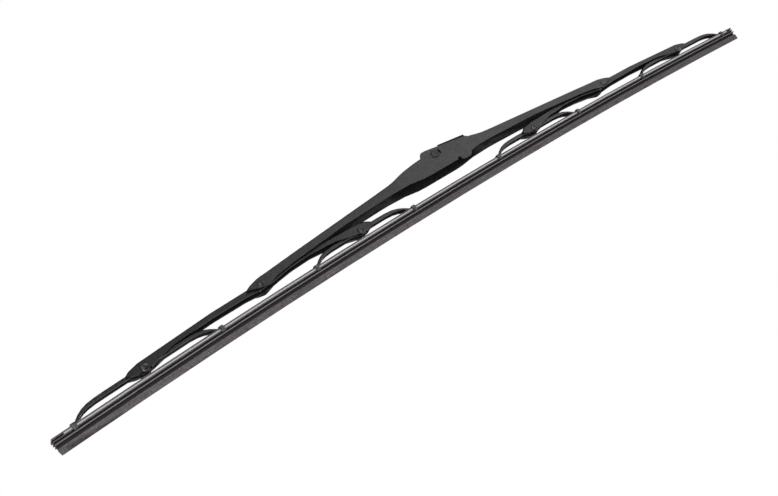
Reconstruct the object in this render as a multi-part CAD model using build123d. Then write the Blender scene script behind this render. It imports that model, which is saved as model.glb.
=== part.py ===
from build123d import *
import math
import os

# Frame while modelling: x along the blade, z away from the glass, z = 0 on the rails at mid length.
# At the end everything is lowered so that the connector pin is the origin.

# Rubber strip and its bow
BLADE_LENGTH = 650.0
BOW_SAGITTA = 8.3
CAP_HALF = 2.9
CAP_THICK = 1.05
SLOT_HEIGHT = 0.95
SLOT_WEB_HALF = 0.9
SHELF_THICK = 0.6
WAIST_HALF = 1.1
WAIST_HEIGHT = 1.3
RIDGE_HALF = 2.6
RIDGE_HEIGHT = 0.65
RIDGE_CHAMFER = 0.25
NECK_HALF = 0.45
NECK_HEIGHT = 1.85
LIP_HALF = 1.25
LIP_SHOULDER = 0.7
LIP_HEIGHT = 3.9
LIP_EDGE_HALF = 0.35

# Spring steel rails in the slots of the rubber
RAIL_CLEARANCE = 0.04
RAIL_OVERHANG = 0.35
RAIL_END_INSET = 7.3

# Claws around the rubber
CLAW_CLEARANCE = 0.15
CLAW_SHEET = 0.6
CLAW_LENGTH = 2.8
CLAW_MOUTH_HALF = 2.0
CLAW_HOOK = 0.6
CLAW_BEVEL = 0.5

# Claw yokes, a long pair at the ends of the blade and a short pair near the middle
OUTER_YOKE_X = 0.398 * BLADE_LENGTH
OUTER_HALF_SPAN = 0.0805 * BLADE_LENGTH
INNER_YOKE_X = 0.1326 * BLADE_LENGTH
INNER_HALF_SPAN = 0.0672 * BLADE_LENGTH
CLAW_PIVOT_HEIGHT = 5.8
CLAW_YOKE_RISE = 2.7
CLAW_YOKE_LOBE = 2.3
CLAW_ARM_DEPTH = 2.6
CLAW_YOKE_SHEET = 0.8
CLAW_YOKE_HALF = 2.3
CLAW_YOKE_BEVEL = 0.8
CLAW_LOBE_RUN = 8.5

# Secondary yokes
YOKE_SHEET = 0.9
YOKE_WAIST_RISE = 2.5
YOKE_BEVEL = 0.85

# Main bridge
BRIDGE_SHEET = 1.1
BRIDGE_ARM_HALF = 6.3
BRIDGE_BEVEL = 0.9
BRIDGE_PIVOT_X = 0.2592 * BLADE_LENGTH
BRIDGE_PIVOT_Z = 7.8
HUB_HALF = 7.0
HUB_DEPTH = 14.7
HUB_FLAT = 15.0
HUB_CREST = 5.7
SHOULDER_X = 44.0
SHOULDER_DROP = 2.5
ROOT_X = 50.0
ROOT_RISE = 2.1
NECK_BACK = 8.5
HEEL_BACK = 12.5
HUB_TAPER = 20.0
WINDOW_LEFT = -10.4
WINDOW_RIGHT = 33.0
WINDOW_DEPTH = 4.0
END_RUN = 16.0

# Rivets and the plastic liners around them
RIVET_CLEARANCE = 0.05
RIVET_SEAT = 0.01
LINER_CLEARANCE = 0.06
LINER_ROOF = 0.5
CLAW_RIVET_RADIUS = 1.3
CLAW_RIVET_HEAD = 2.8
CLAW_RIVET_THICK = 0.7
CLAW_LINER_THICK = 0.4
CLAW_LINER_REACH = 4.5
BRIDGE_RIVET_RADIUS = 1.5
BRIDGE_RIVET_HEAD = 2.4
BRIDGE_RIVET_THICK = 0.4
BRIDGE_LINER_THICK = 0.7
BRIDGE_LINER_REACH = 4.5

# Connector pin and arm adapter in the hub
PIN_Z = 25.0
PIN_RADIUS = 2.4
PIN_HEAD_RADIUS = 3.1
PIN_HEAD_THICK = 0.6
ADAPTER_CLEARANCE = 0.35
ADAPTER_NOSE = 4.4
ADAPTER_WALL = 0.8
ADAPTER_SNAP_HALF = 1.95
ADAPTER_SEAT_X = 8.0
TONGUE_HALF = 2.0
TONGUE_SLIT = 1.0
BUTTON_BACK = 7.0

# Sizes that follow from the ones above
BOW_RADIUS = (BLADE_LENGTH**2 / 4 + BOW_SAGITTA**2) / (2 * BOW_SAGITTA)
BOW_AXIS = Axis((0, 0, -BOW_RADIUS), (0, 1, 0))
CAP_TOP = SLOT_HEIGHT / 2 + CAP_THICK
RAIL_OUTER_HALF = CAP_HALF + RAIL_OVERHANG
YOKE_HALF = CLAW_YOKE_HALF + CLAW_LINER_THICK + 2 * LINER_CLEARANCE + YOKE_SHEET
BRIDGE_END_HALF = YOKE_HALF + BRIDGE_LINER_THICK + 2 * LINER_CLEARANCE + BRIDGE_SHEET
ADAPTER_HALF = HUB_HALF - BRIDGE_SHEET - ADAPTER_CLEARANCE
HUB_TOP = PIN_Z + 2.4
HUB_BOTTOM = HUB_TOP - HUB_DEPTH

# Reach of a cutting solid that only has to pass clean through a piece
BEYOND = 60.0

# Share of a straight stretch that a rounded corner takes, and the turn below which a free edge stays plain
CORNER_SHARE = 0.3
SOFT_TURN = 12.0


def rail_z(x):
    return math.sqrt(BOW_RADIUS**2 - x**2) - BOW_RADIUS


def on_bow(x):
    """Place on the bowed rails at x, level with the rails there."""
    return Location((x, 0, rail_z(x)), (0, math.degrees(math.asin(x / BOW_RADIUS)), 0))


def claw_pivot(x):
    point = on_bow(x) * Pos(0, 0, CLAW_PIVOT_HEIGHT)
    return point.position.X, point.position.Z


def from_point(point, steps):
    """Points given as steps from one point."""
    return [(point[0] + dx, point[1] + dz) for dx, dz in steps]


def between(start, stop, shares):
    """Points between two points, each with its own share of the way in x and in z."""
    dx = stop[0] - start[0]
    dz = stop[1] - start[1]
    return [(start[0] + u * dx, start[1] + v * dz) for u, v in shares]


def both_ways(points):
    """Points of a right half with their mirror images in front of them."""
    return [(-x, z) for x, z in reversed(points)] + points


def rounded(points, least_turn=0):
    """Run of lines through the points, with an arc at every corner that turns by more than the least turn."""
    radii = []
    for before, corner, after in zip(points, points[1:], points[2:]):
        back = Vector(*before) - Vector(*corner)
        ahead = Vector(*after) - Vector(*corner)
        angle = back.get_angle(ahead)
        reach = CORNER_SHARE * min(back.length, ahead.length)
        radii.append(reach * math.tan(math.radians(angle / 2)) if angle < 180 - least_turn else 0)
    return list(FilletPolyline(*points, radius=radii).edges())


def run_ends(edges):
    """Left and right end of a run of edges."""
    points = [e @ t for e in edges for t in (0, 1)]
    return min(points, key=lambda p: p.X), max(points, key=lambda p: p.X)


def side_face(lower, upper):
    """Closed side outline from a lower and an upper run of curves."""
    low_left, low_right = run_ends(lower)
    up_left, up_right = run_ends(upper)
    ends = [Line(low_left, up_left), Line(low_right, up_right)]
    return Plane.XZ * make_face(lower + upper + ends)


def plan_solid(plan, inset):
    """Solid over a plan, given by its far edge points, drawn in by the inset on both sides."""
    far = [(x, y - inset) for x, y in plan]
    near = [(x, -y) for x, y in reversed(far)]
    return extrude(make_face(Polyline(*far, *near, close=True)), BEYOND, both=True)


def top_edges(solid):
    """Long edges where the web turns into the two flanges."""
    chosen = []
    for face in solid.faces():
        if face.normal_at().Z > 0.3:
            for e in face.edges():
                if abs(e.tangent_at(0.5).X) > 0.3 and abs((e @ 0.5).Y) > 0.5:
                    chosen.append(e)
    return chosen


def channel(lower, upper, plan, sheet, bevel):
    """Pressed channel, open below, from its side outline, its plan and its sheet."""
    outer = extrude(side_face(lower, upper), BEYOND, both=True) & plan_solid(plan, 0)
    outer = chamfer(top_edges(outer), bevel)
    roof = [Location((0, -sheet)) * e for e in upper]
    left, right = run_ends(roof)
    walls = Polyline(left, (left.X, -BEYOND), (right.X, -BEYOND), right)
    space = extrude(Plane.XZ * make_face(roof + [walls]), BEYOND, both=True)
    return outer - (space & plan_solid(plan, sheet))


def cross_rod(x, z, radius, half_length):
    return Location((x, 0, z), (90, 0, 0)) * Cylinder(radius, 2 * half_length)


def rivet(radius, head_radius, head_thick, grip_half):
    """Shank across both flanges with a low flat head on each outer face, at the origin."""
    body = cross_rod(0, 0, radius, grip_half)
    head = cross_rod(0, 0, head_radius, head_thick / 2)
    for side in (-1, 1):
        body += Pos(0, side * (grip_half + head_thick / 2), 0) * head
    return body


def liner(inner_half, thick, reach, below, roof, bore):
    """Plastic saddle over the inner yoke at a pivot, notched for the rivet, with the pivot at the origin."""
    cheek_in = inner_half + LINER_CLEARANCE
    cheek_out = cheek_in + thick
    under = roof + LINER_CLEARANCE
    above = under + LINER_ROOF
    block = Pos(0, 0, (above - below) / 2) * Box(2 * reach, 2 * cheek_out, above + below)
    ends = block.edges().filter_by(Axis.Y).sort_by(Axis.Z)
    block = chamfer(ends[:2], below * 0.5)
    block -= Pos(0, 0, under - BEYOND) * Box(BEYOND, 2 * cheek_in, 2 * BEYOND)
    return block - Pos(0, 0, bore - BEYOND / 2) * Box(2 * bore, BEYOND, BEYOND)


def along_bow(section, half_length):
    angle = math.degrees(math.asin(half_length / BOW_RADIUS))
    strip = revolve(section, BOW_AXIS, 2 * angle)
    return strip.rotate(BOW_AXIS, -angle)


# Wiper rubber: one strip, its section turned along the bow
def rubber_section():
    z = [CAP_TOP, SLOT_HEIGHT / 2, -SLOT_HEIGHT / 2]
    steps = (SHELF_THICK, WAIST_HEIGHT, RIDGE_HEIGHT - RIDGE_CHAMFER, RIDGE_CHAMFER, NECK_HEIGHT)
    for step in steps:
        z.append(z[-1] - step)
    half = [
        (0, z[0]),
        (CAP_HALF, z[0]),
        (CAP_HALF, z[1]),
        (SLOT_WEB_HALF, z[1]),
        (SLOT_WEB_HALF, z[2]),
        (CAP_HALF, z[2]),
        (CAP_HALF, z[3]),
        (WAIST_HALF, z[3]),
        (WAIST_HALF, z[4]),
        (RIDGE_HALF, z[4]),
        (RIDGE_HALF, z[5]),
        (RIDGE_HALF - RIDGE_CHAMFER, z[6]),
        (NECK_HALF, z[6]),
        (NECK_HALF, z[7]),
        (LIP_HALF, z[7]),
        (LIP_HALF, z[7] - LIP_SHOULDER),
        (LIP_EDGE_HALF, z[7] - LIP_HEIGHT),
        (0, z[7] - LIP_HEIGHT),
    ]
    other = [(-y, h) for y, h in reversed(half[1:-1])]
    return Plane.YZ * make_face(Polyline(*half, *other, close=True))


wiper_rubber = along_bow(rubber_section(), BLADE_LENGTH / 2)

# Rails: two flat strips, each in one slot of the rubber
rail_inner = SLOT_WEB_HALF + RAIL_CLEARANCE
rail_width = RAIL_OUTER_HALF - rail_inner
rail_thick = SLOT_HEIGHT - 2 * RAIL_CLEARANCE
rail_half_length = BLADE_LENGTH / 2 - RAIL_END_INSET
rail_face = Plane.YZ * Pos(rail_inner + rail_width / 2, 0) * Rectangle(rail_width, rail_thick)
far_rail = along_bow(rail_face, rail_half_length)
near_rail = mirror(far_rail, Plane.XZ)


# Claw: a short clip around cap and rails, hooked under the shelf of the rubber
def claw(x, z):
    roof_in = CAP_TOP + CLAW_CLEARANCE
    floor_in = -SLOT_HEIGHT / 2 - SHELF_THICK - CLAW_CLEARANCE
    side_in = RAIL_OUTER_HALF + CLAW_CLEARANCE
    side_out = side_in + CLAW_SHEET
    height = roof_in + CLAW_SHEET - (floor_in - CLAW_HOOK)
    middle = (roof_in + CLAW_SHEET + floor_in - CLAW_HOOK) / 2
    outer = Rectangle(2 * side_out, height)
    outer = chamfer(outer.vertices(), CLAW_BEVEL)
    inner = Pos(0, (roof_in + floor_in) / 2 - middle) * Rectangle(2 * side_in, roof_in - floor_in)
    mouth = Pos(0, -height / 2) * Rectangle(2 * CLAW_MOUTH_HALF, height)
    clip = extrude(Plane.YZ * (outer - inner - mouth), CLAW_LENGTH / 2, both=True)
    return Pos(x, 0, z + middle) * clip


# Claw yoke: slim channel with a claw at each end, drawn level above the rails
def claw_yoke(span):
    top = CLAW_PIVOT_HEIGHT + CLAW_YOKE_RISE
    arm = top - CLAW_ARM_DEPTH
    lobe = CLAW_PIVOT_HEIGHT - CLAW_YOKE_LOBE
    drop = rail_z(span)
    plate = CAP_TOP + CLAW_CLEARANCE + drop
    right_up = from_point((span, top), [(-27, 0), (-19, -0.2), (-13.5, -0.75), (-9.3, -1.9), (-5.7, -3.6)])
    right_up += [(span - 0.9, plate + CLAW_SHEET / 3)]
    right_low = [(2.2, lobe), (CLAW_LOBE_RUN, arm)]
    right_low += from_point((span, arm), [(-19, 0), (-13.5, -0.5), (-9.7, -1.35), (-6.7, -2.6)])
    right_low += [(span - 4.2, plate + 0.1)]
    upper = rounded(both_ways(right_up), SOFT_TURN)
    lower = rounded(both_ways(right_low), SOFT_TURN)
    plan = [(-span - 1, CLAW_YOKE_HALF), (span + 1, CLAW_YOKE_HALF)]
    body = channel(lower, upper, plan, CLAW_YOKE_SHEET, CLAW_YOKE_BEVEL)
    for side in (-1, 1):
        body += claw(side * span, drop)
    return body - cross_rod(0, CLAW_PIVOT_HEIGHT, CLAW_RIVET_RADIUS + RIVET_CLEARANCE, BEYOND)


right_outer_claw_yoke = on_bow(OUTER_YOKE_X) * claw_yoke(OUTER_HALF_SPAN)
right_inner_claw_yoke = on_bow(INNER_YOKE_X) * claw_yoke(INNER_HALF_SPAN)


# Secondary yoke: arched channel with a forked ear at each end for a claw yoke
def secondary_yoke():
    ear_in = claw_pivot(INNER_YOKE_X)
    ear_out = claw_pivot(OUTER_YOKE_X)
    waist = (BRIDGE_PIVOT_X, BRIDGE_PIVOT_Z)
    up = from_point(ear_in, [(-11.1, 2.2), (-7.1, 4.7), (0.9, 5.9), (14, 6.1)])
    up += between(waist, (ear_in[0], BRIDGE_PIVOT_Z + 5), [(0.52, 0.92), (0.24, 0.72)])
    up += [(BRIDGE_PIVOT_X, BRIDGE_PIVOT_Z + YOKE_WAIST_RISE)]
    up += between(waist, (ear_out[0], BRIDGE_PIVOT_Z + 5), [(0.41, 0.3)])
    up += from_point(ear_out, [(-10.2, 5.8), (1.8, 5.0), (9.2, 3.3), (12.6, 1.4)])
    low = from_point(ear_in, [(-10.7, 0.7), (-7.1, -1.0), (-0.1, -2.0), (6.4, -0.6), (20, 2.4)])
    low += between(waist, (ear_in[0], BRIDGE_PIVOT_Z + 5), [(0.52, 0.28), (0.29, 0.1)])
    low += from_point(waist, [(-8, -2.1), (1, -2.6), (12, -1.9)])
    low += between(waist, (ear_out[0], BRIDGE_PIVOT_Z - 5), [(0.41, 0.44), (0.75, 0.84)])
    low += from_point(ear_out, [(-7.2, -0.6), (0.8, -2.0), (6.5, -1.1), (11.6, 0.5)])
    plan = [(ear_in[0] - 15, YOKE_HALF), (ear_out[0] + 15, YOKE_HALF)]
    lower = rounded(low, SOFT_TURN)
    upper = rounded(up, SOFT_TURN)
    body = channel(lower, upper, plan, YOKE_SHEET, YOKE_BEVEL)
    fork = YOKE_HALF - YOKE_SHEET
    for ear, away in ((ear_in, -1), (ear_out, 1)):
        body -= Pos(ear[0] + away * (BEYOND / 2 + 2.5), 0, 0) * Box(BEYOND, 2 * fork, BEYOND)
        body -= cross_rod(*ear, CLAW_RIVET_RADIUS + RIVET_SEAT, BEYOND)
    return body - cross_rod(*waist, BRIDGE_RIVET_RADIUS + RIVET_CLEARANCE, BEYOND)


right_secondary_yoke = secondary_yoke()


# Main bridge: one long channel, deep at the hub, with a window for the hook of the arm
def main_bridge_body():
    pivot = (BRIDGE_PIVOT_X, BRIDGE_PIVOT_Z)
    crown = (HUB_FLAT, HUB_TOP)
    belly = (HUB_FLAT, HUB_BOTTOM)
    shoulder = (SHOULDER_X, PIN_Z - SHOULDER_DROP)
    neck = (BRIDGE_PIVOT_X - NECK_BACK, BRIDGE_PIVOT_Z + 5.4)
    root = (ROOT_X, HUB_BOTTOM + ROOT_RISE)
    heel = (BRIDGE_PIVOT_X - HEEL_BACK, BRIDGE_PIVOT_Z - 0.6)
    right_up = [crown] + between(crown, shoulder, [(0.55, 0.39)]) + [shoulder]
    right_up += between(shoulder, neck, [(0.5, 0.48), (0.82, 0.8)])
    right_up += [neck] + from_point(pivot, [(-1.2, 4.9), (6.5, 3.0), (10, 1.4)])
    right_low = [belly] + between(belly, root, [(0.2, 0.14), (0.54, 0.86)]) + [root]
    right_low += between(root, heel, [(0.42, 0.2), (0.66, 0.5), (0.87, 0.75)])
    right_low += [heel]
    right_low += from_point(pivot, [(-7.2, -2.2), (-3.5, -3.2), (1.4, -2.4), (6, -0.7), (9.6, 0.3)])
    upper = rounded(both_ways(right_up))
    lower = rounded(both_ways(right_low), SOFT_TURN)
    taper = WINDOW_RIGHT + 4
    plan = [(taper, HUB_HALF), (taper + HUB_TAPER, BRIDGE_ARM_HALF)]
    plan += [(BRIDGE_PIVOT_X - END_RUN, BRIDGE_END_HALF), (BRIDGE_PIVOT_X + END_RUN, BRIDGE_END_HALF)]
    body = channel(lower, upper, both_ways(plan), BRIDGE_SHEET, BRIDGE_BEVEL)
    inside = HUB_HALF - BRIDGE_SHEET
    window_mid = (WINDOW_LEFT + WINDOW_RIGHT) / 2
    body -= Pos(window_mid, 0, HUB_TOP) * Box(WINDOW_RIGHT - WINDOW_LEFT, 2 * inside, 2 * WINDOW_DEPTH)
    body += hub_rims(inside)
    fork = BRIDGE_END_HALF - BRIDGE_SHEET
    for side in (-1, 1):
        cut = side * (BRIDGE_PIVOT_X - 6.5 + BEYOND / 2)
        body -= Pos(cut, 0, 0) * Box(BEYOND, 2 * fork, 2 * BEYOND)
        body -= cross_rod(side * pivot[0], pivot[1], BRIDGE_RIVET_RADIUS + RIVET_SEAT, BEYOND)
    return body - cross_rod(0, PIN_Z, PIN_RADIUS + RIVET_SEAT, BEYOND)


def near_wall(face, inside):
    """Flat piece of sheet in the plane of the near flange of the hub."""
    return extrude(Plane.XZ.offset(inside) * face, BRIDGE_SHEET)


# Raised rims of the hub beside the window, with a stop lug under the near one
def hub_rims(inside):
    foot = PIN_Z - 1
    crest = PIN_Z + HUB_CREST
    left = [(WINDOW_LEFT - 2, foot), (WINDOW_LEFT - 1.5, HUB_TOP), (WINDOW_LEFT + 1.2, crest)]
    right = [(-4.4, crest), (WINDOW_RIGHT - 1, PIN_Z + 0.5), (WINDOW_RIGHT - 1, foot)]
    face = make_face(Polyline(*left, *right, close=True))
    corner = face.vertices().sort_by(Axis.Y)[-2:].sort_by(Axis.X)[0]
    rim = near_wall(fillet(corner, 2.2), inside)
    steps = [(14.6, 1.3), (14.6, -1.3), (16.4, -2.1), (22.4, -2.1), (24.6, -0.7), (26.5, 1.5)]
    lug = make_face(Polyline(*from_point((0, HUB_BOTTOM), steps), close=True))
    return rim + mirror(rim, Plane.XZ) + near_wall(lug, inside)


main_bridge = main_bridge_body()

# Connector pin: headed steel pin across the hub
connector_pin = Pos(0, 0, PIN_Z) * rivet(PIN_RADIUS, PIN_HEAD_RADIUS, PIN_HEAD_THICK, HUB_HALF)


# Arm adapter: moulded clip snapped on the pin, a side wall on both sides of the hook's seat
def adapter():
    tail = WINDOW_RIGHT - 1
    nose = Circle(ADAPTER_NOSE)
    over = [(0, ADAPTER_NOSE), (ADAPTER_SEAT_X, ADAPTER_NOSE - 0.8), (tail, 1.2)]
    under = [(tail, -1.6), (10.0, 0.4 - ADAPTER_NOSE), (0, -ADAPTER_NOSE)]
    seat = make_face(Polyline(*over, *under, close=True))
    core = extrude(Plane.XZ * (nose + seat), ADAPTER_HALF, both=True)
    corners = [(ADAPTER_SEAT_X - 0.4, 0), (ADAPTER_SEAT_X + 0.4, HUB_CREST), (tail, 3.1), (tail, 0)]
    walls = extrude(Plane.XZ * make_face(Polyline(*corners, close=True)), ADAPTER_HALF, both=True)
    walls -= Box(BEYOND * 2, 2 * (ADAPTER_HALF - ADAPTER_WALL), BEYOND)
    clip = core + walls
    clip -= cross_rod(0, 0, PIN_RADIUS + RIVET_CLEARANCE, BEYOND)
    clip -= Pos(0, 0, -BEYOND / 2) * Box(2 * ADAPTER_SNAP_HALF, BEYOND, BEYOND)
    for side in (-1, 1):
        slit = Box(tail, TONGUE_SLIT, BEYOND)
        clip -= Pos(ADAPTER_SEAT_X + tail / 2, side * (TONGUE_HALF + TONGUE_SLIT / 2), 0) * slit
    button = Pos(tail - BUTTON_BACK, 0, 1.6) * Cylinder(1.6, 2.2)
    return clip + button


arm_adapter = Pos(0, 0, PIN_Z) * adapter()

# Rivets of the pivots on the right half
outer_place = Pos(claw_pivot(OUTER_YOKE_X)[0], 0, claw_pivot(OUTER_YOKE_X)[1])
inner_place = Pos(claw_pivot(INNER_YOKE_X)[0], 0, claw_pivot(INNER_YOKE_X)[1])
bridge_place = Pos(BRIDGE_PIVOT_X, 0, BRIDGE_PIVOT_Z)
claw_rivet = rivet(CLAW_RIVET_RADIUS, CLAW_RIVET_HEAD, CLAW_RIVET_THICK, YOKE_HALF)
bridge_rivet = rivet(BRIDGE_RIVET_RADIUS, BRIDGE_RIVET_HEAD, BRIDGE_RIVET_THICK, BRIDGE_END_HALF)

# Liners: a plastic saddle on every yoke where it hangs in the next larger one
claw_bore = CLAW_RIVET_RADIUS + RIVET_CLEARANCE
claw_liner = liner(
    CLAW_YOKE_HALF, CLAW_LINER_THICK, CLAW_LINER_REACH, CLAW_YOKE_LOBE - 0.2, CLAW_YOKE_RISE, claw_bore
)
bridge_bore = BRIDGE_RIVET_RADIUS + RIVET_CLEARANCE
waist_roof = YOKE_WAIST_RISE + 0.3
bridge_liner = liner(
    YOKE_HALF, BRIDGE_LINER_THICK, BRIDGE_LINER_REACH, 2.2, waist_roof, bridge_bore
)

# Pieces of the right half, repeated on the left half
PAIRS = {
    "secondary_yoke": right_secondary_yoke,
    "outer_claw_yoke": right_outer_claw_yoke,
    "inner_claw_yoke": right_inner_claw_yoke,
    "bridge_rivet": bridge_place * bridge_rivet,
    "outer_rivet": outer_place * claw_rivet,
    "inner_rivet": inner_place * claw_rivet,
    "bridge_liner": bridge_place * bridge_liner,
    "outer_liner": on_bow(OUTER_YOKE_X) * Pos(0, 0, CLAW_PIVOT_HEIGHT) * claw_liner,
    "inner_liner": on_bow(INNER_YOKE_X) * Pos(0, 0, CLAW_PIVOT_HEIGHT) * claw_liner,
}
pieces = {
    "main_bridge": main_bridge,
    "connector_pin": connector_pin,
    "arm_adapter": arm_adapter,
    "wiper_rubber": wiper_rubber,
    "near_rail": near_rail,
    "far_rail": far_rail,
}
for name, shape in PAIRS.items():
    pieces["right_" + name] = shape
    pieces["left_" + name] = mirror(shape, Plane.YZ)

os.makedirs("parts", exist_ok=True)
for name, shape in pieces.items():
    placed = Pos(0, 0, -PIN_Z) * shape
    export_step(placed, os.path.join("parts", name + ".step"))
    print(name, round(placed.volume, 1), len(placed.solids()))
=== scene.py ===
import math
import bpy
from mathutils import Matrix, Vector


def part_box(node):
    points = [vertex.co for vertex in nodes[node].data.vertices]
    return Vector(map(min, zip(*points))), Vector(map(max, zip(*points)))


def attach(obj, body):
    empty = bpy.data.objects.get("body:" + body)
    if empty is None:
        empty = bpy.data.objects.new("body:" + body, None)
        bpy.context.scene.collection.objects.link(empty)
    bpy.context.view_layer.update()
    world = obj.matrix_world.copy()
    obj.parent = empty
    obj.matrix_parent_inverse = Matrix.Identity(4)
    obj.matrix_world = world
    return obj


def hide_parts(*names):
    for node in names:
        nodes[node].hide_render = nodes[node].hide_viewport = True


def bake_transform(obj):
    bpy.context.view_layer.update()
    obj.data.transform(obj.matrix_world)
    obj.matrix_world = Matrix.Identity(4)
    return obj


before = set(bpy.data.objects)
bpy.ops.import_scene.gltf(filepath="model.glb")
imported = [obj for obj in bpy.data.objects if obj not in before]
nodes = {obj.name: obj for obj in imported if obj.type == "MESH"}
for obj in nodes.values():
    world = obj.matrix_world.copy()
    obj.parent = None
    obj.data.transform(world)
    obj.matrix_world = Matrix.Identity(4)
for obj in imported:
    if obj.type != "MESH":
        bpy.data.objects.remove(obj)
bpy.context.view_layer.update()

# Main bridge: one long channel pressed from steel sheet, deep at the hub and narrow at its two forked ends.
# It is punched and bent in a press, then coated in semi-matt black powder paint.
# The secondary yokes hang in its ends, and the arm's adapter sits on a pin in its hub.


def linear(hex_colour):
    """Linear colour from an sRGB hex value."""
    values = [int(hex_colour[i:i + 2], 16) / 255 for i in (1, 3, 5)]
    return [v / 12.92 if v <= 0.04045 else ((v + 0.055) / 1.055) ** 2.4 for v in values] + [1.0]


def add_node(tree, kind, values=None, links=None, stops=(), **settings):
    """Adds a node with its settings, socket values, links and colour stops."""
    made = tree.nodes.new(kind)
    for name, value in settings.items():
        setattr(made, name, value)
    for socket, value in (values or {}).items():
        made.inputs[socket].default_value = value
    for socket, source in (links or {}).items():
        tree.links.new(source, made.inputs[socket])
    for i, (position, hex_colour) in enumerate(stops):
        made.color_ramp.elements[i].position = position
        made.color_ramp.elements[i].color = linear(hex_colour)
    return made


def per_metre(size_mm):
    """Texture scale for a pattern whose cells are this wide."""
    return 1000.0 / size_mm


def new_finish(name, **sockets):
    """New material of that name, its tree and its shader with the sockets set."""
    finish = bpy.data.materials.new(name)
    finish.use_nodes = True
    shader = finish.node_tree.nodes["Principled BSDF"]
    for socket, value in sockets.items():
        shader.inputs[socket.replace("_", " ")].default_value = value
    return finish, finish.node_tree, shader


def black_paint(name, dark, light, smooth, rough, shine=0.25):
    """Black paint on pressed steel: finely specked in tone, cloudy in gloss, with a faint orange peel."""
    cloud_mm = 14.0
    # Specks and peel are finer on the real paint and are drawn this coarse so that they show.
    speck_mm = 1.5
    peel_mm = 1.6
    peel_strength = 0.12
    peel_height = 0.00005
    finish, tree, shader = new_finish(name, IOR=1.5, Specular_IOR_Level=shine)
    place = add_node(tree, "ShaderNodeTexCoord").outputs["Object"]
    specks = add_node(
        tree, "ShaderNodeTexNoise", {"Scale": per_metre(speck_mm), "Detail": 3.0}, {"Vector": place}
    )
    tone = add_node(
        tree,
        "ShaderNodeValToRGB",
        links={"Fac": specks.outputs["Fac"]},
        stops=((0.35, dark), (0.65, light)),
    )
    clouds = add_node(
        tree, "ShaderNodeTexNoise", {"Scale": per_metre(cloud_mm), "Detail": 3.0}, {"Vector": place}
    )
    gloss = add_node(
        tree, "ShaderNodeMapRange", {"To Min": smooth, "To Max": rough}, {"Value": clouds.outputs["Fac"]}
    )
    peel = add_node(
        tree, "ShaderNodeTexNoise", {"Scale": per_metre(peel_mm), "Detail": 1.0}, {"Vector": place}
    )
    bump = add_node(
        tree,
        "ShaderNodeBump",
        {"Strength": peel_strength, "Distance": peel_height},
        {"Height": peel.outputs["Fac"]},
    )
    tree.links.new(tone.outputs["Color"], shader.inputs["Base Color"])
    tree.links.new(gloss.outputs["Result"], shader.inputs["Roughness"])
    tree.links.new(bump.outputs["Normal"], shader.inputs["Normal"])
    return finish


def coat(piece, finish):
    """Gives a piece one finish all over."""
    piece.data.materials.clear()
    piece.data.materials.append(finish)


def only(piece):
    """Makes a piece the one that the operators act on."""
    bpy.ops.object.select_all(action="DESELECT")
    piece.select_set(True)
    bpy.context.view_layer.objects.active = piece


MERGE_DISTANCE = 0.000001


def copy_of(node, name):
    """Own copy of a solid's mesh with its loose triangles merged, left in edit mode to be worked on."""
    piece = bpy.data.objects.new(name, nodes[node].data.copy())
    bpy.context.scene.collection.objects.link(piece)
    only(piece)
    bpy.ops.object.mode_set(mode="EDIT")
    bpy.ops.mesh.select_all(action="SELECT")
    bpy.ops.mesh.remove_doubles(threshold=MERGE_DISTANCE)
    return piece


PUNCH_SIDES = 20
PUNCH_LENGTH = 0.003


def punch(piece, place, across, tall):
    """Cuts an oval through the sheet at a place, along y."""
    bpy.ops.object.select_all(action="DESELECT")
    bpy.ops.mesh.primitive_cylinder_add(
        vertices=PUNCH_SIDES,
        radius=1,
        depth=1,
        location=place,
        rotation=(math.pi / 2, 0, 0),
        scale=(across / 2, tall / 2, PUNCH_LENGTH),
    )
    cutter = bpy.context.active_object
    only(piece)
    bpy.ops.object.modifier_add(type="BOOLEAN")
    hole = piece.modifiers[-1]
    hole.operation = "DIFFERENCE"
    hole.solver = "EXACT"
    hole.object = cutter
    bpy.ops.object.modifier_apply(modifier=hole.name)
    only(cutter)
    bpy.ops.object.delete()
    only(piece)


# Faces that turn less than this are one flat face.
FLAT_TURN = math.radians(0.2)
# An edge that turns more than this is a real edge, which can be broken.
EDGE_TURN = math.radians(28)
# Faces that turn less than this are shaded as one round bend.
ROUND_TURN = math.radians(50)
BROKEN_EDGE_STEPS = 2


def formed(node, body, finish, punched=(), broken_edge=0.0):
    """Pressed or moulded piece: the solid, punched, with its edges broken and its bends shaded round."""
    piece = copy_of(node, node + "_formed")
    bpy.ops.object.mode_set(mode="OBJECT")
    for place, across, tall in punched:
        punch(piece, place, across, tall)
    bpy.ops.object.mode_set(mode="EDIT")
    bpy.ops.mesh.select_all(action="SELECT")
    bpy.ops.mesh.dissolve_limited(angle_limit=FLAT_TURN)
    bpy.ops.object.mode_set(mode="OBJECT")
    if broken_edge:
        bpy.ops.object.modifier_add(type="BEVEL")
        edges = piece.modifiers[-1]
        edges.width = broken_edge
        edges.segments = BROKEN_EDGE_STEPS
        edges.limit_method = "ANGLE"
        edges.angle_limit = EDGE_TURN
        edges.use_clamp_overlap = False
        bpy.ops.object.modifier_apply(modifier=edges.name)
    bpy.ops.object.shade_smooth_by_angle(angle=ROUND_TURN)
    bpy.ops.object.modifier_add(type="WEIGHTED_NORMAL")
    shading = piece.modifiers[-1]
    shading.keep_sharp = True
    bpy.ops.object.modifier_apply(modifier=shading.name)
    coat(piece, finish)
    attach(piece, body)
    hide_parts(node)
    return piece


# A face whose normal has a z below this looks at the glass.
FACING_GLASS = -0.85


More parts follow.
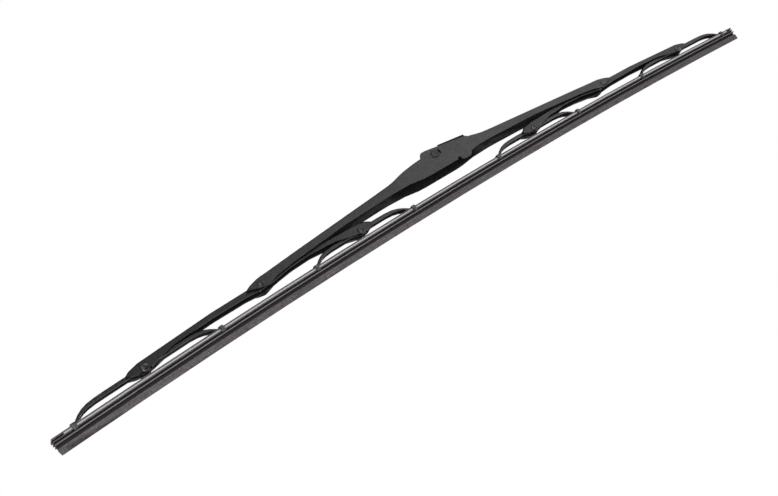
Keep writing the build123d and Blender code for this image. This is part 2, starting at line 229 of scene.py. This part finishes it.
def shade_cut_edges(piece, finish):
    """Gives the cut edges of a channel's walls, which face the glass, a darker finish of their own: painted
    shade.
    """
    piece.data.materials.append(finish)
    for face in piece.data.polygons:
        across = [piece.data.vertices[i].co.y for i in face.vertices]
        on_one_wall = min(across) * max(across) > 0
        if face.normal.z < FACING_GLASS and on_one_wall:
            face.material_index = len(piece.data.materials) - 1


# Powder paint levels with a faint orange peel, which gives the eye a soft, uneven sheen on near black.
powder_paint = black_paint(
    "semi_matt_black_powder_paint", "#121212", "#2d2d2d", smooth=0.34, rough=0.46
)
# The cut edges that face the glass are painted a darker black, dull and without gloss: painted shade, as
# these downward faces would lie in shadow.
shaded_edge_paint = black_paint(
    "black_edge_paint_with_painted_shade", "#101010", "#151515", smooth=0.7, rough=0.8, shine=0.03
)
# Cuts in the near wall of the hub, each with its place, width and height.
HUB_FACE_Y = -0.0065
STAKE_SLOT = ((0.0045, HUB_FACE_Y, 0.0001), 0.0019, 0.0042)
STAKE_DOT = ((-0.0036, HUB_FACE_Y, -0.0014), 0.0009, 0.0011)
LUG_NOTCH = ((0.0134, HUB_FACE_Y, -0.0122), 0.0034, 0.003)
hub_cuts = (STAKE_SLOT, STAKE_DOT, LUG_NOTCH)
bridge = formed("main_bridge", "bridge", powder_paint, hub_cuts)
# The walls' downward cut edges take the darker paint: painted shade.
shade_cut_edges(bridge, shaded_edge_paint)

# Secondary and claw yokes: slimmer channels pressed from thinner sheet, hung on rivets one in the other.
# The secondary yokes are dipped in black enamel, the claw yokes powder painted as the bridge is.
# A claw yoke ends in two claws, bent out wider than the channel and closed round the rubber in a press.
SIDES = ("left", "right")
PLACES = ("outer", "inner")
CLAW_FROM_Y = 0.0027
# Dipped enamel is a thinner coat, which gives the eye a darker and slightly duller black than powder paint.
dip_paint = black_paint("dipped_black_enamel", "#101010", "#222222", smooth=0.36, rough=0.5)
# The claws are painted a greyer and duller black: a painted highlight for the light that their bent faces
# catch.
claw_highlight_paint = black_paint("claw_paint_with_painted_highlight", "#343232", "#646161", smooth=0.4, rough=0.55)
for side in SIDES:
    formed(side + "_secondary_yoke", side + "_secondary", dip_paint)
    for place_name in PLACES:
        arm = side + "_" + place_name
        yoke = formed(arm + "_claw_yoke", arm + "_claws", powder_paint)
        # The claws beyond the channel's walls take the greyer paint, a painted highlight.
        yoke.data.materials.append(claw_highlight_paint)
        for face in yoke.data.polygons:
            face.material_index = int(abs(face.center.y) > CLAW_FROM_Y)

# Rivets: short pins of cold headed steel, blackened, one across each pivot.
# Each end is rolled over into a head with a raised rim round a shallow dimple.

# Blackened steel gives the eye a dark metal with a tight sheen, so that a rim shows a bright crescent.
# The patches in its gloss are finer on the real steel and are drawn this coarse so that they show.
BLACKING_PATCH_MM = 0.6
dark_steel, tree, shader = new_finish("blackened_steel", Metallic=0.5, Base_Color=linear("#242424"))
place = add_node(tree, "ShaderNodeTexCoord").outputs["Object"]
wear = add_node(
    tree, "ShaderNodeTexNoise", {"Scale": per_metre(BLACKING_PATCH_MM), "Detail": 3.0}, {"Vector": place}
)
gloss = add_node(
    tree, "ShaderNodeMapRange", {"To Min": 0.2, "To Max": 0.34}, {"Value": wear.outputs["Fac"]}
)
tree.links.new(gloss.outputs["Result"], shader.inputs["Roughness"])

# On the crest of the rim the black is worn, and grey steel shows through in patches.
RIM_PATCH_MM = 2.2
worn_steel, tree, shader = new_finish("worn_blackened_steel", Metallic=0.8, Roughness=0.3)
place = add_node(tree, "ShaderNodeTexCoord").outputs["Object"]
wear = add_node(
    tree, "ShaderNodeTexNoise", {"Scale": per_metre(RIM_PATCH_MM), "Detail": 2.0}, {"Vector": place}
)
tone = add_node(
    tree,
    "ShaderNodeValToRGB",
    links={"Fac": wear.outputs["Fac"]},
    stops=((0.42, "#242424"), (0.62, "#545454")),
)
tree.links.new(tone.outputs["Color"], shader.inputs["Base Color"])

# A turned piece starts from a plane of this size, which is merged to the first point of its profile.
SEED_SIZE = 0.001
SPIN_STEPS = 48
TURNED_EDGE = math.radians(35)


def turned(node, body, profile, finish, crest=None):
    """Turned piece along y in place of a solid: a profile of radius and place along y, spun once round."""
    low, high = (Vector(corner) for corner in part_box(node))
    middle = (low + high) / 2
    bpy.ops.object.select_all(action="DESELECT")
    bpy.ops.mesh.primitive_plane_add(size=SEED_SIZE, location=(0, 0, 0))
    piece = bpy.context.active_object
    piece.name = node + "_headed"
    bpy.ops.object.mode_set(mode="EDIT")
    bpy.ops.mesh.merge(type="CENTER")
    points = [middle + Vector((radius, along, 0)) for radius, along in profile]
    bpy.ops.transform.translate(value=points[0])
    for here, there in zip(points, points[1:]):
        bpy.ops.mesh.extrude_vertices_move(TRANSFORM_OT_translate={"value": there - here})
    bpy.ops.mesh.select_all(action="SELECT")
    bpy.ops.mesh.spin(steps=SPIN_STEPS, angle=math.tau, center=middle, axis=(0, 1, 0))
    bpy.ops.mesh.select_all(action="SELECT")
    bpy.ops.mesh.remove_doubles(threshold=MERGE_DISTANCE)
    bpy.ops.mesh.normals_make_consistent(inside=False)
    bpy.ops.object.mode_set(mode="OBJECT")
    bpy.ops.object.shade_smooth_by_angle(angle=TURNED_EDGE)
    coat(piece, finish)
    if crest:
        inner, outer = crest
        piece.data.materials.append(worn_steel)
        for face in piece.data.polygons:
            from_axis = math.hypot(face.center.x - middle.x, face.center.z - middle.z)
            face.material_index = int(inner < from_axis < outer)
    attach(piece, body)
    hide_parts(node)


def headed(node, shank, head, thick, dimple):
    """Profile of a shank with a rolled head at both ends, as long as the solid is."""
    low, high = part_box(node)
    end = (high[1] - low[1]) / 2
    # Share of the head's radius, and depth below its crest, from the dimple out over the rim to the seat
    rolled = (
        (0.0, dimple),
        (0.42, dimple),
        (0.58, dimple * 0.35),
        (0.7, 0.0),
        (0.84, thick * 0.06),
        (0.95, thick * 0.35),
        (1.0, thick * 0.65),
        (1.0, thick),
    )
    half = [(head * share, end - depth) for share, depth in rolled]
    half.append((shank, end - thick))
    return half + [(radius, -along) for radius, along in reversed(half)]


for side in SIDES:
    for place_name in PLACES:
        node = side + "_" + place_name + "_rivet"
        profile = headed(node, shank=0.0013, head=0.0028, thick=0.0007, dimple=0.0004)
        turned(node, side + "_secondary", profile, dark_steel, crest=(0.0017, 0.0026))
    node = side + "_bridge_rivet"
    profile = headed(node, shank=0.0015, head=0.0024, thick=0.0004, dimple=0.0002)
    turned(node, "bridge", profile, dark_steel)

# Connector pin: a stouter steel pin across the hub, headed at both ends, which the adapter snaps onto.
# It is set before the bridge is painted, so its heads carry the same powder paint.
profile = headed("connector_pin", shank=0.0024, head=0.0031, thick=0.0006, dimple=0.00025)
turned("connector_pin", "bridge", profile, powder_paint)

# Arm adapter and liners: moulded black acetal. The adapter is snapped over the connector pin, and a liner
# sits at each pivot between the two channels, so that painted steel doesn't rub on painted steel.

# A mould with a fine grain gives acetal a matt near black. The grain is drawn coarser than it is, to show.
GRAIN_MM = 0.5
GRAIN_STRENGTH = 0.25
GRAIN_HEIGHT = 0.00005
black_plastic, tree, shader = new_finish(
    "moulded_black_acetal", IOR=1.48, Specular_IOR_Level=0.12, Roughness=0.7
)
place = add_node(tree, "ShaderNodeTexCoord").outputs["Object"]
grain = add_node(
    tree, "ShaderNodeTexNoise", {"Scale": per_metre(GRAIN_MM), "Detail": 2.0}, {"Vector": place}
)
tone = add_node(
    tree,
    "ShaderNodeValToRGB",
    links={"Fac": grain.outputs["Fac"]},
    stops=((0.0, "#0c0c0c"), (1.0, "#131313")),
)
bump = add_node(
    tree,
    "ShaderNodeBump",
    {"Strength": GRAIN_STRENGTH, "Distance": GRAIN_HEIGHT},
    {"Height": grain.outputs["Fac"]},
)
tree.links.new(tone.outputs["Color"], shader.inputs["Base Color"])
tree.links.new(bump.outputs["Normal"], shader.inputs["Normal"])
formed("arm_adapter", "adapter", black_plastic, broken_edge=0.00015)
for side in SIDES:
    for pivot in ("bridge", "outer", "inner"):
        coat(nodes[side + "_" + pivot + "_liner"], black_plastic)

# Wiper rubber: one strip, extruded with a slot for each rail, grooves for the claws and a thin lip.
# The claws hold it and the yokes bend it, so it is made in stretches that follow what holds them.

# Graphite dust gives the outer faces a matt warm grey, in long streaks along the strip and in fine specks.
# The specks are drawn coarser than they are, so that they show.
RUBBER_STREAK_MM = 30.0
RUBBER_SPECK_MM = 1.3
STREAK_STRETCH = (1.0, 40.0, 40.0)
black_rubber, tree, shader = new_finish(
    "graphite_dusted_rubber", IOR=1.52, Specular_IOR_Level=0.2, Roughness=0.7
)
place = add_node(tree, "ShaderNodeTexCoord").outputs["Object"]
along = add_node(tree, "ShaderNodeMapping", {"Scale": STREAK_STRETCH}, {"Vector": place})
streaks = add_node(
    tree,
    "ShaderNodeTexNoise",
    {"Scale": per_metre(RUBBER_STREAK_MM), "Detail": 4.0},
    {"Vector": along.outputs["Vector"]},
)
specks = add_node(
    tree, "ShaderNodeTexNoise", {"Scale": per_metre(RUBBER_SPECK_MM), "Detail": 2.0}, {"Vector": place}
)
dust = add_node(
    tree,
    "ShaderNodeMath",
    links={0: streaks.outputs["Fac"], 1: specks.outputs["Fac"]},
    operation="MULTIPLY",
)
tone = add_node(
    tree,
    "ShaderNodeValToRGB",
    links={"Fac": dust.outputs["Value"]},
    stops=((0.1, "#464142"), (0.45, "#757071")),
)
tree.links.new(tone.outputs["Color"], shader.inputs["Base Color"])

# In its grooves, and on the faces of a groove that look up or down, the rubber is painted near black:
# painted shade.
groove_shade_rubber, tree, shader = new_finish(
    "rubber_with_painted_groove_shade", IOR=1.52, Specular_IOR_Level=0.15, Roughness=0.75
)
place = add_node(tree, "ShaderNodeTexCoord").outputs["Object"]
specks = add_node(
    tree, "ShaderNodeTexNoise", {"Scale": per_metre(RUBBER_SPECK_MM), "Detail": 2.0}, {"Vector": place}
)
tone = add_node(
    tree,
    "ShaderNodeValToRGB",
    links={"Fac": specks.outputs["Fac"]},
    stops=((0.0, "#252323"), (1.0, "#322f2f")),
)
tree.links.new(tone.outputs["Color"], shader.inputs["Base Color"])

# The narrow ridge between the grooves is painted lighter: a painted highlight along it.
ridge_highlight_rubber, tree, shader = new_finish(
    "ridge_highlight_rubber", IOR=1.52, Specular_IOR_Level=0.2, Roughness=0.65
)
place = add_node(tree, "ShaderNodeTexCoord").outputs["Object"]
along = add_node(tree, "ShaderNodeMapping", {"Scale": STREAK_STRETCH}, {"Vector": place})
streaks = add_node(
    tree, "ShaderNodeTexNoise", {"Scale": per_metre(RUBBER_STREAK_MM)}, {"Vector": along.outputs["Vector"]}
)
tone = add_node(
    tree,
    "ShaderNodeValToRGB",
    links={"Fac": streaks.outputs["Fac"]},
    stops=((0.0, "#6f6c6c"), (1.0, "#858181")),
)
tree.links.new(tone.outputs["Color"], shader.inputs["Base Color"])

# Zones of the strip, in the order of its finishes
OUTER_ZONE = 0
GROOVE_ZONE = 1
RIDGE_ZONE = 2
# Where the zones lie across the strip, from its middle outward
GROOVE_HALF = 0.0012
RIDGE_FROM = 0.0022
RIDGE_TO = 0.0027
# How squarely a face of a groove looks up or down, or to the side
FLAT_FACING = 0.9
SIDE_FACING = 0.99


def strip_zone(piece, face):
    """Which finish a face of the strip has, by where it lies across the strip and which way it faces."""
    across = [piece.data.vertices[i].co.y for i in face.vertices]
    least = min(abs(y) for y in across)
    most = max(abs(y) for y in across)
    if min(across) < 0 < max(across):
        return OUTER_ZONE
    # The ridge takes the lighter rubber: a painted highlight.
    if RIDGE_FROM < least and most < RIDGE_TO:
        return RIDGE_ZONE
    # Faces in the grooves, and those that look up or down, take the near black rubber: painted shade.
    groove_wall = abs(face.normal.z) > FLAT_FACING
    groove_floor = abs(face.normal.y) > SIDE_FACING and most < GROOVE_HALF
    return GROOVE_ZONE if groove_wall or groove_floor else OUTER_ZONE


CUT_EVERY = 0.006
STRIP_EDGE = math.radians(28)


def strip_stretch(node, name, start, stop):
    """Stretch of a strip between two places along the blade, with cross cuts so that it can bend."""
    piece = copy_of(node, name)
    low, high = sorted((start, stop))
    for x, inner, outer in ((low, True, False), (high, False, True)):
        bpy.ops.mesh.select_all(action="SELECT")
        bpy.ops.mesh.bisect(
            plane_co=(x, 0, 0), plane_no=(1, 0, 0), use_fill=True, clear_inner=inner, clear_outer=outer
        )
    count = int((high - low) / CUT_EVERY)
    for i in range(1, count):
        bpy.ops.mesh.select_all(action="SELECT")
        bpy.ops.mesh.bisect(plane_co=(low + (high - low) * i / count, 0, 0), plane_no=(1, 0, 0))
    bpy.ops.object.mode_set(mode="OBJECT")
    bpy.ops.object.shade_smooth_by_angle(angle=STRIP_EDGE)
    return piece


# Within this reach of its middle the strip goes over from the bridge to the secondary yoke.
HUB_REACH = 0.03
# The last cut lies past the end of the strip and takes nothing off it.
PAST_THE_END = 0.4


def held_strip(node, finish, other_zones=()):
    """The whole strip in stretches: one held by a single body is put on it, one between two bodies is left
    in place.
    """
    inner_low, inner_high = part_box("right_inner_claw_yoke")
    outer_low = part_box("right_outer_claw_yoke")[0]
    waist = sum(corner[0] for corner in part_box("right_bridge_rivet")) / 2
    marks = [0.0, HUB_REACH, inner_low[0], inner_high[0], waist, outer_low[0], PAST_THE_END]
    for side, sign in zip(SIDES, (-1, 1)):
        yoke = side + "_secondary"
        inner = side + "_inner_claws"
        outer = side + "_outer_claws"
        holders = [("bridge", yoke), (yoke, inner), (inner,), (inner, yoke), (yoke, outer), (outer,)]
        for i, holder in enumerate(holders):
            start = sign * marks[i]
            stop = sign * marks[i + 1]
            piece = strip_stretch(node, node + "_" + side + "_" + str(i + 1), start, stop)
            coat(piece, finish)
            for other in other_zones:
                piece.data.materials.append(other)
            if other_zones:
                for face in piece.data.polygons:
                    face.material_index = strip_zone(piece, face)
            if len(holder) == 2:
                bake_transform(piece)
            else:
                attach(piece, *holder)
            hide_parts(node)


held_strip("wiper_rubber", black_rubber, (groove_shade_rubber, ridge_highlight_rubber))

# Rails: two flat strips of spring steel, rolled bright and cut to length.
# They are pushed into the slots of the rubber from its end, and press it evenly onto the glass.

# Rolling leaves fine lines along the strip, which give the eye a pale, satin grey.
ROLL_LINE_MM = 20.0
ROLL_STRETCH = (1.0, 80.0, 80.0)
spring_steel, tree, shader = new_finish("rolled_spring_steel", Metallic=1.0, Roughness=0.7)
place = add_node(tree, "ShaderNodeTexCoord").outputs["Object"]
along = add_node(tree, "ShaderNodeMapping", {"Scale": ROLL_STRETCH}, {"Vector": place})
lines = add_node(
    tree, "ShaderNodeTexNoise", {"Scale": per_metre(ROLL_LINE_MM)}, {"Vector": along.outputs["Vector"]}
)
tone = add_node(
    tree,
    "ShaderNodeValToRGB",
    links={"Fac": lines.outputs["Fac"]},
    stops=((0.0, "#a4a4a3"), (1.0, "#bcbcbb")),
)
tree.links.new(tone.outputs["Color"], shader.inputs["Base Color"])
held_strip("near_rail", spring_steel)
held_strip("far_rail", spring_steel)

# Studio: a plain pale floor well below the blade and a white surround, with a darker ceiling that shows in
# reflections alone. Two soft lamps stand on the near side of the blade and one behind it.
FLOOR_Z = -1.6
FLOOR_SIZE = 30


def ray_kinds(tree):
    """Two sockets, the first 1 for a ray from the eye or through glass, the second 1 for a mirrored ray."""
    rays = add_node(tree, "ShaderNodeLightPath")
    straight = add_node(
        tree,
        "ShaderNodeMath",
        links={0: rays.outputs["Is Camera Ray"], 1: rays.outputs["Is Transmission Ray"]},
        operation="MAXIMUM",
    )
    return straight.outputs["Value"], rays.outputs["Is Glossy Ray"]


bpy.ops.object.select_all(action="DESELECT")
bpy.ops.mesh.primitive_plane_add(size=FLOOR_SIZE, location=(0, 0, FLOOR_Z))
floor = bpy.context.active_object
floor.name = "studio_floor"
# Matt paper throws soft light up at the blade, and is plain white to the eye and in reflections.
pale_floor, tree, shader = new_finish("pale_paper", Roughness=0.9, Base_Color=linear("#f4f4f4"))
straight, mirrored = ray_kinds(tree)
seen = add_node(tree, "ShaderNodeMath", links={0: straight, 1: mirrored}, operation="MAXIMUM")
white = add_node(tree, "ShaderNodeEmission", {"Color": linear("#ffffff"), "Strength": 1.0})
mix = add_node(
    tree,
    "ShaderNodeMixShader",
    links={0: seen.outputs["Value"], 1: shader.outputs["BSDF"], 2: white.outputs["Emission"]},
)
tree.links.new(mix.outputs["Shader"], tree.nodes["Material Output"].inputs["Surface"])
coat(floor, pale_floor)

# The surround has one strength as light, another in reflections, and is white where it is seen straight.
WORLD_LIGHT = 0.2
CEILING_LIGHT = 0.15
CEILING_FROM = 0.45
CEILING_FULL = 0.75
surround = bpy.data.worlds.new("white_surround")
surround.use_nodes = True
tree = surround.node_tree
facing = add_node(tree, "ShaderNodeTexCoord").outputs["Generated"]
height = add_node(tree, "ShaderNodeSeparateXYZ", links={"Vector": facing}).outputs["Z"]
ceiling = add_node(
    tree,
    "ShaderNodeMapRange",
    {"From Min": CEILING_FROM, "From Max": CEILING_FULL, "To Min": 1.0, "To Max": CEILING_LIGHT},
    {"Value": height},
)
straight, mirrored = ray_kinds(tree)
indirect = add_node(
    tree,
    "ShaderNodeMapRange",
    {"To Min": WORLD_LIGHT},
    {"Value": mirrored, "To Max": ceiling.outputs["Result"]},
)
strength = add_node(
    tree,
    "ShaderNodeMapRange",
    {"To Max": 1.0},
    {"Value": straight, "To Min": indirect.outputs["Result"]},
)
sky = tree.nodes["Background"]
sky.inputs["Color"].default_value = linear("#ffffff")
tree.links.new(strength.outputs["Result"], sky.inputs["Strength"])
bpy.context.scene.world = surround


def soft_lamp(name, place, watts, size):
    """Square soft lamp aimed at the middle of the blade."""
    bpy.ops.object.select_all(action="DESELECT")
    bpy.ops.object.light_add(type="AREA", location=place)
    lamp = bpy.context.active_object
    lamp.name = name
    lamp.data.energy = watts
    lamp.data.size = size
    lamp.rotation_euler = Vector(place).to_track_quat("Z", "Y").to_euler()


soft_lamp("key_lamp", (1.1, -1.2, 0.6), watts=7.0, size=0.9)
soft_lamp("fill_lamp", (-0.9, -1.1, -0.4), watts=14.0, size=0.8)
soft_lamp("back_lamp", (0.5, 1.3, 0.6), watts=12.0, size=0.9)

# Camera: where the photograph was taken from, below the blade's left end on the near side, with the blade
# rising across the frame from left to right.
CAMERA_PLACE = (-0.5026, -0.6022, -0.2782)
CAMERA_RIGHT = Vector((0.7125, -0.2407, -0.6591))
CAMERA_UP = Vector((0.4378, -0.5815, 0.6857))
CAMERA_BACK = Vector((-0.5483, -0.7771, -0.3090))
CAMERA_LENS_MM = 55.53
CAMERA_SENSOR_MM = 36.0
CAMERA_CLIP_START = 0.01
bpy.ops.object.select_all(action="DESELECT")
bpy.ops.object.camera_add(location=CAMERA_PLACE)
camera = bpy.context.active_object
turn = Matrix((CAMERA_RIGHT, CAMERA_UP, CAMERA_BACK)).transposed()
camera.rotation_euler = turn.to_euler()
camera.data.sensor_fit = "HORIZONTAL"
camera.data.sensor_width = CAMERA_SENSOR_MM
camera.data.lens = CAMERA_LENS_MM
camera.data.clip_start = CAMERA_CLIP_START
bpy.context.scene.camera = camera
bpy.context.scene.view_settings.view_transform = "Standard"
